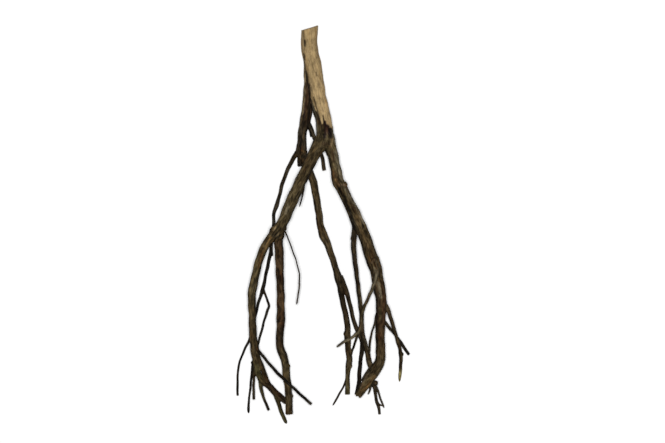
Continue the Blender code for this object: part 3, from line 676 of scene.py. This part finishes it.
class Limb:
    """One limb's smooth centre line, with what is needed to build it and to find places on it."""

    def __init__(self, number, name, style, points):
        self.number = number
        self.name = name
        self.style = style
        self.phase = PHASE_STEP * number
        self.centres, self.radii, self.along = smooth_route(points, RING_SPACING_MM)
        self.forward, self.up, self.side = ring_frames(self.centres)
        from_ends = np.minimum(self.along, self.along[-1] - self.along)
        fade = np.clip(from_ends / WANDER_LENGTH_MM, 0, 1)
        wave = np.sin(2 * math.pi * self.along / WANDER_LENGTH_MM + self.phase)
        self.centres = self.centres + WANDER_MM * (fade * wave)[:, None] * self.side
        self.mean_radius = float(self.radii.mean())

    def rings(self):
        """The rings of points around the limb, and the middle points of its two ends."""
        sides = max(FEWEST_SIDES, round(2 * math.pi * self.radii.max() / SIDE_WIDTH_MM))
        angles = np.arange(sides) * 2 * math.pi / sides
        reach = self.radii[:, None] * lobe_share(self.along[:, None], angles[None], self.phase)
        upward = np.cos(angles)[None, :, None] * self.up[:, None]
        sideways = np.sin(angles)[None, :, None] * self.side[:, None]
        rings = self.centres[:, None] + reach[..., None] * (upward + sideways)
        middle, ahead, radius = self.centres[-1], self.forward[-1], self.radii[-1]
        past = end_reach(self.style, angles, radius)
        rings[-1] += past[:, None] * ahead
        last = middle + ahead * past.mean()
        if self.style == "tip":
            rings[-1] = middle + (rings[-1] - middle) * TIP_RADIUS_SHARE
            last = middle + ahead * radius * TIP_POINT_SHARE
        elif self.style != "buried":
            bevel = middle + (rings[-1] - middle) * (1 - CUT_BEVEL)
            rings = np.concatenate([rings, bevel[None] + ahead * radius * CUT_DISH])
        return rings, self.centres[0], last

    def mesh(self, offset):
        """Vertices and faces of the closed limb, with its vertex numbers starting at the offset."""
        rings, first, last = self.rings()
        rows, count = rings.shape[:2]
        grid = np.arange(rows * count).reshape(rows, count)
        here, there = grid[:-1], grid[1:]
        corners = [here, np.roll(here, -1, 1), np.roll(there, -1, 1), there]
        faces = np.stack(corners, axis=-1).reshape(-1, 4).tolist()
        begin, end = rows * count, rows * count + 1
        for i in range(count):
            j = (i + 1) % count
            faces += [(grid[0][j], grid[0][i], begin), (grid[-1][i], grid[-1][j], end)]
        return np.vstack([rings.reshape(-1, 3), first, last]), shifted(faces, offset)


def shifted(faces, offset):
    return [tuple(int(v) + offset for v in face) for face in faces]


def knob_mesh(across, down, height, radius, offset):
    """Vertices and faces of one knot, a ball of rings."""
    place = ground_place(across, down, height)
    tilt = (np.arange(1, KNOB_ROWS) * math.pi / KNOB_ROWS)[:, None]
    turn = (np.arange(KNOB_SIDES) * 2 * math.pi / KNOB_SIDES)[None]
    ball = np.stack([
        np.sin(tilt) * np.cos(turn),
        KNOB_LENGTH_SHARE * np.sin(tilt) * np.sin(turn),
        KNOB_HEIGHT_SHARE * np.cos(tilt) + 0 * turn,
    ], axis=-1)
    pole = np.array([0, 0, KNOB_HEIGHT_SHARE])
    points = place + radius * np.vstack([ball.reshape(-1, 3), pole, -pole])
    grid = np.arange((KNOB_ROWS - 1) * KNOB_SIDES).reshape(KNOB_ROWS - 1, KNOB_SIDES)
    top, bottom = grid.size, grid.size + 1
    faces = []
    for i in range(KNOB_SIDES):
        j = (i + 1) % KNOB_SIDES
        faces += [(grid[k][i], grid[k + 1][i], grid[k + 1][j], grid[k][j]) for k in range(KNOB_ROWS - 2)]
        faces += [(top, grid[0][i], grid[0][j]), (bottom, grid[-1][j], grid[-1][i])]
    return points, shifted(faces, offset)


def object_from(name, mesh):
    """A new object in the scene that shows this mesh."""
    made = bpy.data.objects.new(name, mesh)
    bpy.context.scene.collection.objects.link(made)
    return made


def applied(item, kind, settings):
    """The item's mesh after one modifier."""
    modifier = item.modifiers.new(kind, kind)
    for setting, value in settings.items():
        setattr(modifier, setting, value)
    bpy.context.view_layer.update()
    finished = item.evaluated_get(bpy.context.evaluated_depsgraph_get())
    item.data = bpy.data.meshes.new_from_object(finished)
    item.modifiers.clear()
    return item.data


def mesh_vectors(mesh, name):
    """The coordinates or the normals of the mesh's vertices."""
    values = np.empty(len(mesh.vertices) * 3)
    mesh.vertices.foreach_get(name, values)
    return values.reshape(-1, 3)


def smoothed(mesh, values, rounds, push, pull):
    """Values at the mesh's vertices after rounds of smoothing. A pull below 0 keeps the form's size."""
    edges = np.empty(len(mesh.edges) * 2, np.int64)
    mesh.edges.foreach_get("vertices", edges)
    one, other = edges.reshape(-1, 2).T
    count = len(mesh.vertices)
    degree = np.bincount(edges, minlength=count)[:, None]
    for _ in range(rounds):
        for share in (push, pull):
            total = np.column_stack([
                np.bincount(one, band[other], count) + np.bincount(other, band[one], count)
                for band in values.T
            ])
            values = values + share * (total / degree - values)
    return values


def lattice_noise(places, seed):
    """Smooth noise from -1 to 1 at each place, one cell to a unit."""
    cells = np.floor(places).astype(np.int64)
    t = places - cells
    t = t * t * (3 - 2 * t)
    values = np.random.default_rng(seed).uniform(-1, 1, NOISE_VALUES)
    total = np.zeros(len(places))
    for corner in range(8):
        step = np.array([corner & 1, corner >> 1 & 1, corner >> 2])
        hashed = np.bitwise_xor.reduce((cells + step) * NOISE_FACTORS, axis=1)
        share = np.prod(np.where(step, t, 1 - t), axis=1)
        total += share * values[hashed & (NOISE_VALUES - 1)]
    return total


def nearest_on(limb, points):
    """For points near the limb: distance along, offsets up and to the side, and gap to its surface, in mm."""
    nearest = np.empty(len(points), np.int64)
    squares = (limb.centres**2).sum(axis=1)
    for start in range(0, len(points), POINTS_AT_ONCE):
        some = points[start:start + POINTS_AT_ONCE]
        nearest[start:start + POINTS_AT_ONCE] = (squares - 2 * some @ limb.centres.T).argmin(axis=1)
    offset = points - limb.centres[nearest]
    up = (offset * limb.up[nearest]).sum(axis=1)
    side = (offset * limb.side[nearest]).sum(axis=1)
    along = limb.along[nearest] + (offset * limb.forward[nearest]).sum(axis=1)
    radius = np.interp(along, limb.along, limb.radii)
    surface = radius * lobe_share(along, np.arctan2(side, up), limb.phase)
    beyond = np.maximum(np.maximum(-along, along - limb.along[-1]), 0)
    return along, up, side, np.hypot(up, side) - surface + BEYOND_SHARE * beyond


def root_fields(limbs, points):
    """What the limbs say about each point: the nearest limb's coordinates, and blended relief and tone."""
    count = len(points)
    fields = {
        "gap": np.full(count, FAR_MM), "second": np.full(count, FAR_MM), "radius": np.full(count, FAR_MM),
        "grain": np.zeros((count, 3)), "ahead": np.zeros((count, 3)), "end": np.zeros(count),
        "relief": np.zeros(count), "peeled": np.zeros(count), "tone": np.zeros((count, 3)),
    }
    weights = np.full(count, LEAST_WEIGHT)
    for limb in limbs:
        margin = NEAR_MM + limb.radii.max()
        low, high = limb.centres.min(axis=0) - margin, limb.centres.max(axis=0) + margin
        near = np.flatnonzero(((points > low) & (points < high)).all(axis=1))
        if not len(near):
            continue
        along, up, side, gap = nearest_on(limb, points[near])
        kept = gap < NEAR_MM
        near, along, up, side, gap = near[kept], along[kept], up[kept], side[kept], gap[kept]
        weight = np.exp(-(np.maximum(gap, 0) / BLEND_MM) ** 2)
        relief, peeled = limb_relief(limb, along, up, side, points[near])
        fields["relief"][near] += weight * relief
        fields["peeled"][near] += weight * peeled
        fields["tone"][near] += weight[:, None] * limb_tone(limb, along, peeled)
        weights[near] += weight
        closer = gap < fields["gap"][near]
        farther = np.where(closer, fields["gap"][near], gap)
        fields["second"][near] = np.minimum(fields["second"][near], farther)
        won = near[closer]
        fields["gap"][won] = gap[closer]
        fields["radius"][won] = limb.mean_radius
        fields["grain"][won] = np.column_stack([up, side, along + GRAIN_SHIFT * limb.number])[closer]
        fields["ahead"][won] = limb.forward[-1]
        fields["end"][won] = along[closer] - limb.along[-1] if limb.style != "buried" else -FAR_MM
    fields["relief"] /= weights
    fields["peeled"] /= weights
    fields["tone"] /= weights[:, None]
    return fields


def limb_relief(limb, along, up, side, points):
    """How far the bark stands out of the limb's plain form (mm), and how much of it is peeled wood."""
    size = max(limb.mean_radius, THINNEST_MM)
    around = unit(np.column_stack([up, side]) + LEAST_OFFSET_MM) * size

    def rough(kind):
        across, length, shift, seed = BARK_CELLS[kind]
        return lattice_noise(np.column_stack([around / across, along / length + shift * limb.number]), seed)

    broad, ridges, fine = rough("broad"), rough("ridges"), rough("fine")
    bark = BROAD_SHARE * broad + RIDGE_SHARE * (1 - 2 * np.abs(ridges)) + FINE_SHARE * fine
    bark = size * (bark + LUMP_SHARE * rough("lumps"))
    if limb.name != "stem":
        return bark, np.zeros(len(along))
    edge = np.interp(np.degrees(np.arctan2(side, up)), *np.array(PEELED_EDGE).T)
    edge = edge + EDGE_RIDGES * ridges + EDGE_NOTCHES * fine
    peeled = np.clip((edge - front_pixels(points)[:, 1]) / EDGE_WIDTH + 0.5, 0, 1)
    wood = WOOD_BROAD_MM * broad + WOOD_RIDGES_MM * ridges + WOOD_FINE_MM * fine - BARK_DEPTH_MM
    return bark + (wood - bark) * peeled, peeled


def limb_tone(limb, along, peeled):
    """The bark's tone at each distance along the limb, with the peeled wood over it."""
    stops = LIMB_TONES.get(limb.name, ((0, "dark"),))
    shares = [share for share, _ in stops]
    colors = np.array([TONES[name] for _, name in stops])
    tone = np.column_stack([np.interp(along / limb.along[-1], shares, band) for band in colors.T])
    pale, aged = np.array(TONES["pale wood"]), np.array(TONES["aged wood"])
    ageing = np.clip((along - AGED_FROM_MM) / AGED_OVER_MM, 0, 1)[:, None]
    return tone + (pale + (aged - pale) * ageing - tone) * peeled[:, None]


def mark_shares(points, normals):
    """For each mark: its tone, share and groove, the points near it and how fully it covers each."""
    pixels = front_pixels(points)
    facing = np.clip(MARK_FACING * normals[:, 2] + MARK_FACING_START, 0, 1)
    wobble = MARK_WOBBLE * lattice_noise(points / MARK_WOBBLE_MM, MARK_SEED)
    for tone, strength, half_width, groove, line in MARKS:
        line = np.array(line, float)
        low, high = line.min(axis=0) - MARK_MARGIN, line.max(axis=0) + MARK_MARGIN
        near = np.flatnonzero(((pixels > low) & (pixels < high)).all(axis=1))
        distance = np.full(len(near), FAR_MM)
        for a, b in zip(line, line[1:]):
            t = np.clip((pixels[near] - a) @ (b - a) / ((b - a) @ (b - a)), 0, 1)
            here = np.linalg.norm(pixels[near] - a - t[:, None] * (b - a), axis=1)
            distance = np.minimum(distance, here)
        cover = np.clip(MARK_SOFT - distance / half_width - wobble[near], 0, 1) * facing[near]
        yield tone, strength, groove, near, cover


def knot_share(points):
    """How close each point is to one of the larger knots, from 0 to 1."""
    share = np.zeros(len(points))
    for across, down, height, radius in KNOBS:
        if radius >= ROUGH_KNOT_MM:
            distance = np.linalg.norm(points - ground_place(across, down, height), axis=1)
            share = np.maximum(share, np.clip(KNOT_REACH - distance / radius, 0, 1))
    return share


def carved(mesh, limbs):
    """Pushes the mesh's points out and in: soft joints, bark, knots, marks and the flat spots below."""
    points = smoothed(mesh, mesh_vectors(mesh, "co"), SMOOTHING_ROUNDS, SMOOTH_PUSH, SMOOTH_PULL)
    mesh.vertices.foreach_set("co", points.ravel())
    mesh.update()
    normals = unit(smoothed(mesh, mesh_vectors(mesh, "normal"), 1, NORMAL_PUSH, 0.0))
    fields = root_fields(limbs, points)
    radius = np.minimum(fields["radius"], THICKEST_JOINT_MM)
    joint = np.clip(1 - np.maximum(fields["second"], 0) / (JOINT_REACH * radius), 0, 1)
    rough = lattice_noise(points / KNOT_CELL_MM, KNOT_SEED)
    rough = rough + KNOT_FINE * lattice_noise(2 * points / KNOT_CELL_MM, KNOT_FINE_SEED)
    height = fields["relief"] + JOINT_FILLET * radius * joint**2 + KNOT_ROUGH_MM * rough * knot_share(points)
    for _, _, groove, near, cover in mark_shares(points, normals):
        height[near] -= groove * cover
    points = points + normals * height[:, None]
    points[:, 2] = np.maximum(points[:, 2], 0)
    mesh.vertices.foreach_set("co", points.ravel())
    mesh.update()


def set_attribute(mesh, name, kind, values):
    attribute = mesh.attributes.new(name, kind, "POINT")
    key = {"FLOAT": "value", "FLOAT_VECTOR": "vector", "FLOAT_COLOR": "color"}[kind]
    attribute.data.foreach_set(key, np.ascontiguousarray(values, np.float32).ravel())


def painted_light_share(pixels, normals):
    """How much painted light each point of the surface gets, from 0 for painted shade on flanks and on the
    inside of the spread to 1 for surfaces facing up.
    """
    outward = np.tanh((pixels[:, 0] - SHADE_SIDE_MIDDLE) / SHADE_SIDE_TURN) * normals[:, 0]
    facing = normals[:, 2] * math.sqrt(1 - SHADE_SIDE_LEAN**2) + outward * SHADE_SIDE_LEAN
    return np.clip((facing + FLANK_START) / (FLANK_START + FLANK_FULL), 0, 1)**FLANK_CURVE


def painted(mesh, limbs):
    """Stores tone with painted shade and highlight, grain, peeled wood, cut ends and the painted shade of
    cracks and joints on the finished mesh for the material.
    """
    points, normals = mesh_vectors(mesh, "co"), mesh_vectors(mesh, "normal")
    fields = root_fields(limbs, points)
    tone, peeled = fields["tone"], fields["peeled"]
    patch = np.clip(PATCH_GAIN * lattice_noise(points / PATCH_MM, PATCH_SEED) + PATCH_START, 0, 1)
    patch = PATCH_SHARE * patch * knot_share(points) * (1 - peeled)
    tone = tone + (np.array(TONES["orange"]) - tone) * patch[:, None]
    # Painted shade: the tone is darkened on the flanks and on the inside of the spread.
    least = BARK_FLANK_SHADE + (WOOD_FLANK_SHADE - BARK_FLANK_SHADE) * peeled
    tone = tone * (least + (1 - least) * painted_light_share(front_pixels(points), normals))[:, None]
    # Marks go on over the painted flank shade; some of them add painted shade and painted highlight.
    for name, strength, _, near, cover in mark_shares(points, normals):
        amount = (strength * cover)[:, None]
        tone[near] = tone[near] * (1 - amount) + np.array(TONES[name]) * amount
    ahead = (normals * fields["ahead"]).sum(axis=1)
    end = np.clip((ahead - END_FACING) / END_FACING_SOFT, 0, 1) * (fields["end"] > -END_DEPTH_MM)
    # Painted shade: deeper bark relief and the places where two limbs meet are stored for darkening.
    crevice_shade = 0.5 - CREVICE_GAIN * fields["relief"] / np.maximum(fields["radius"], THINNEST_CREVICE_MM)
    joint = 1 - np.maximum(fields["second"], 0) / JOINT_SHADE_MM
    set_attribute(mesh, "tone", "FLOAT_COLOR", np.column_stack([tone, np.ones(len(tone))]))
    set_attribute(mesh, "grain", "FLOAT_VECTOR", fields["grain"])
    set_attribute(mesh, "peeled", "FLOAT", peeled)
    set_attribute(mesh, "end_grain", "FLOAT", end)
    set_attribute(mesh, "crevice_shade", "FLOAT", np.clip(crevice_shade, 0, 1))
    set_attribute(mesh, "joint", "FLOAT", np.clip(joint, 0, 1))


class Nodes:
    """Short calls for a material's node tree."""

    def __init__(self, material):
        self.tree = material.node_tree

    def add(self, kind, inputs=None, **settings):
        node = self.tree.nodes.new(kind)
        for name, value in settings.items():
            setattr(node, name, value)
        for name, value in (inputs or {}).items():
            self.feed(node.inputs[name], value)
        return node

    def feed(self, socket, value):
        if isinstance(value, bpy.types.NodeSocket):
            self.tree.links.new(value, socket)
        else:
            socket.default_value = value

    def attribute(self, name, output="Fac"):
        return self.add("ShaderNodeAttribute", attribute_name=name).outputs[output]

    def math(self, operation, *values):
        node = self.add("ShaderNodeMath", operation=operation)
        for socket, value in zip(node.inputs, values):
            self.feed(socket, value)
        return node.outputs[0]

    def noise(self, grain, kind):
        """One of the material's noises, stretched along the limb."""
        stretch, scale, detail, roughness = NOISES[kind]
        stretched = self.add("ShaderNodeVectorMath", operation="MULTIPLY")
        self.feed(stretched.inputs[0], grain)
        self.feed(stretched.inputs[1], (1.0, 1.0, stretch))
        inputs = {"Vector": stretched.outputs[0], "Scale": scale, "Detail": detail, "Roughness": roughness}
        return self.add("ShaderNodeTexNoise", inputs).outputs["Fac"]

    def ramp(self, value, start, stop, first, last):
        """Goes from the first to the last value as the input goes from start to stop."""
        ends = {"Value": value, "From Min": start, "From Max": stop, "To Min": first, "To Max": last}
        return self.add("ShaderNodeMapRange", ends).outputs["Result"]

    def mix(self, share, first, second, blend="MIX"):
        node = self.add("ShaderNodeMix", data_type="RGBA", blend_type=blend)
        self.feed(node.inputs[0], share)
        self.feed(node.inputs[6], first)
        self.feed(node.inputs[7], second)
        return node.outputs[2]

    def times(self, color, factor):
        node = self.add("ShaderNodeVectorMath", operation="SCALE")
        self.feed(node.inputs[0], color)
        self.feed(node.inputs["Scale"], factor)
        return node.outputs[0]

    def darkened(self, share, color, factor):
        return self.mix(share, color, self.times(color, factor))

    def tinted(self, share, color, tint):
        return self.mix(share, color, self.mix(1.0, color, tint, "MULTIPLY"))


def bark_color(nodes, tone, noise):
    """Mottled, streaked bark with bleached and rusty patches, pits, and painted shade in cracks and at joints
    between limbs.
    """
    light = nodes.ramp(noise["blotches"], *BLOTCHED)
    light = nodes.math("MULTIPLY", light, nodes.ramp(noise["mottles"], *MOTTLED))
    light = nodes.math("MULTIPLY", light, nodes.ramp(noise["fibres"], *FIBROUS))
    bark = nodes.times(tone, light)
    bleached = nodes.ramp(noise["patches"], *BLEACHED)
    bleached = nodes.math("MULTIPLY", bleached, nodes.ramp(noise["fibres"], *BLEACHED_FIBRES))
    pale = nodes.mix(BLEACHED_GREY_SHARE, nodes.times(tone, BLEACHED_GAIN), BLEACHED_GREY)
    bark = nodes.mix(bleached, bark, pale)
    bark = nodes.tinted(nodes.ramp(noise["patches"], *RUSTY), bark, RUSTY_TINT)
    bark = nodes.darkened(nodes.ramp(noise["flecks"], *PITTED), bark, PIT_TONE)
    # Painted shade in bark cracks and where limbs meet.
    bark = nodes.darkened(nodes.ramp(nodes.attribute("crevice_shade"), *CRACK_SHADE), bark, CRACK_SHADE_TONE)
    joint = nodes.math("MULTIPLY", nodes.attribute("joint"), JOINT_SHADE_SHARE)
    return nodes.darkened(joint, bark, JOINT_SHADE_TONE)


def wood_color(nodes, tone, noise):
    """Peeled wood with fine grain, broad grey and yellow streaks, dark lines and flecks."""
    light = nodes.ramp(noise["lines"], *WOOD_GRAIN)
    light = nodes.math("ADD", light, nodes.ramp(noise["stains"], *WOOD_STAINS))
    wood = nodes.times(tone, light)
    wood = nodes.tinted(nodes.ramp(noise["broad lines"], *GREY_STREAKS), wood, GREY_TINT)
    wood = nodes.tinted(nodes.ramp(noise["broad lines"], *YELLOW_STREAKS), wood, YELLOW_TINT)
    wood = nodes.darkened(nodes.ramp(noise["lines"], *DARK_LINES), wood, DARK_LINE_TONE)
    return nodes.darkened(nodes.ramp(noise["flecks"], *WOOD_FLECKS), wood, WOOD_FLECK_TONE)


def cut_color(nodes, grain, noise):
    """Growth rings across a cut end."""
    place = nodes.add("ShaderNodeSeparateXYZ", {"Vector": grain})
    across = nodes.math("POWER", place.outputs["X"], 2.0)
    across = nodes.math("ADD", across, nodes.math("POWER", place.outputs["Y"], 2.0))
    across = nodes.math("SQRT", across)
    across = nodes.math("ADD", across, nodes.math("MULTIPLY", noise["streaks"], RING_WAVER_MM))
    rings = nodes.math("SINE", nodes.math("MULTIPLY", across, RING_TURNS))
    cut = nodes.mix(nodes.ramp(rings, -1.0, 1.0, 0.0, 1.0), DARK_RING, PALE_RING)
    return nodes.mix(nodes.math("MULTIPLY", noise["flecks"], CUT_DIRT_SHARE), cut, CUT_DIRT)


def root_material():
    """Bark, peeled wood and cut ends, each where the mesh's attributes put it."""
    material = bpy.data.materials.new("root_bark_and_wood")
    material.use_nodes = True
    nodes = Nodes(material)
    shader = material.node_tree.nodes["Principled BSDF"]
    grain = nodes.attribute("grain", "Vector")
    tone = nodes.attribute("tone", "Color")
    peeled = nodes.attribute("peeled")
    noise = {kind: nodes.noise(grain, kind) for kind in NOISES}

    color = nodes.mix(peeled, bark_color(nodes, tone, noise), wood_color(nodes, tone, noise))
    color = nodes.mix(nodes.attribute("end_grain"), color, cut_color(nodes, grain, noise))
    nodes.feed(shader.inputs["Base Color"], color)

    rough = nodes.math("SUBTRACT", BARK_ROUGHNESS, nodes.math("MULTIPLY", peeled, PEELED_SHEEN))
    rough = nodes.math("SUBTRACT", rough, nodes.math("MULTIPLY", noise["fibres"], FIBRE_SHEEN))
    nodes.feed(shader.inputs["Roughness"], rough)
    shader.inputs["Specular IOR Level"].default_value = BARK_SPECULAR

    bumps = 0.0
    for kind, share in BUMPS.items():
        bumps = nodes.math("ADD", bumps, nodes.math("MULTIPLY", noise[kind], share))
    bump = nodes.add("ShaderNodeBump", {"Strength": BUMP_STRENGTH, "Distance": BUMP_METRES, "Height": bumps})
    nodes.feed(shader.inputs["Normal"], bump.outputs["Normal"])
    return material


def build_root():
    """All limbs and knots fused into one fine mesh, carved, thinned, painted and brought to metres."""
    limbs = [Limb(number, name, *entry) for number, (name, entry) in enumerate(LIMBS.items())]
    points = np.empty((0, 3))
    faces = []
    for make in [limb.mesh for limb in limbs] + [partial(knob_mesh, *knob) for knob in KNOBS]:
        more, shapes = make(offset=len(points))
        points = np.vstack([points, more])
        faces += shapes
    mesh = bpy.data.meshes.new("weathered_root")
    mesh.from_pydata([tuple(point) for point in points], [], faces)
    piece = object_from("weathered_root", mesh)
    applied(piece, "REMESH", {"mode": "VOXEL", "voxel_size": VOXEL_MM})
    carved(applied(piece, "TRIANGULATE", {}), limbs)
    mesh = applied(piece, "DECIMATE", {"ratio": min(1.0, MOST_TRIANGLES / len(piece.data.polygons))})
    painted(mesh, limbs)
    mesh.transform(Matrix.Scale(METRES_PER_MM, 4))
    mesh.materials.clear()
    mesh.materials.append(root_material())
    mesh.shade_smooth()
    return piece


def pale_floor():
    corners = [(-FLOOR_HALF, -FLOOR_HALF, 0), (FLOOR_HALF, -FLOOR_HALF, 0),
               (FLOOR_HALF, FLOOR_HALF, 0), (-FLOOR_HALF, FLOOR_HALF, 0)]
    mesh = bpy.data.meshes.new("pale_floor")
    mesh.from_pydata(corners, [], [(0, 1, 2, 3)])
    material = bpy.data.materials.new("pale_floor")
    material.use_nodes = True
    shader = material.node_tree.nodes["Principled BSDF"]
    shader.inputs["Base Color"].default_value = FLOOR_COLOR
    shader.inputs["Roughness"].default_value = FLOOR_ROUGHNESS
    shader.inputs["Specular IOR Level"].default_value = FLOOR_SPECULAR
    mesh.materials.append(material)
    object_from("pale_floor", mesh)


def studio():
    """One large lamp close to the camera's axis, and even light from all round."""
    world = bpy.data.worlds.new("studio")
    world.use_nodes = True
    background = world.node_tree.nodes["Background"]
    background.inputs["Color"].default_value = ROOM_COLOR
    background.inputs["Strength"].default_value = ROOM_LIGHT
    bpy.context.scene.world = world
    lamp = bpy.data.lights.new("key", "AREA")
    lamp.shape = "SQUARE"
    lamp.size = LAMP_SIZE
    lamp.energy = LAMP_POWER
    object_from("key", lamp).location = (0.0, 0.0, LAMP_HEIGHT)
    bpy.context.scene.view_settings.view_transform = "Standard"


def camera():
    """Looks straight down on the lying root, at the scale of the front view."""
    data = bpy.data.cameras.new("camera")
    data.sensor_width = SENSOR_MM
    view_width = IMAGE_WIDTH * MM_PER_PIXEL * METRES_PER_MM
    data.lens = SENSOR_MM * (CAMERA_HEIGHT - SHARP_HEIGHT) / view_width
    data.clip_end = CAMERA_REACH
    place = ground_place(IMAGE_WIDTH / 2, IMAGE_HEIGHT / 2, 0) * METRES_PER_MM
    view = object_from("camera", data)
    view.location = (place[0], place[1], CAMERA_HEIGHT)
    bpy.context.scene.camera = view


camera()
root = build_root()
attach(root, "root")
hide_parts(NODE)
pale_floor()
studio()
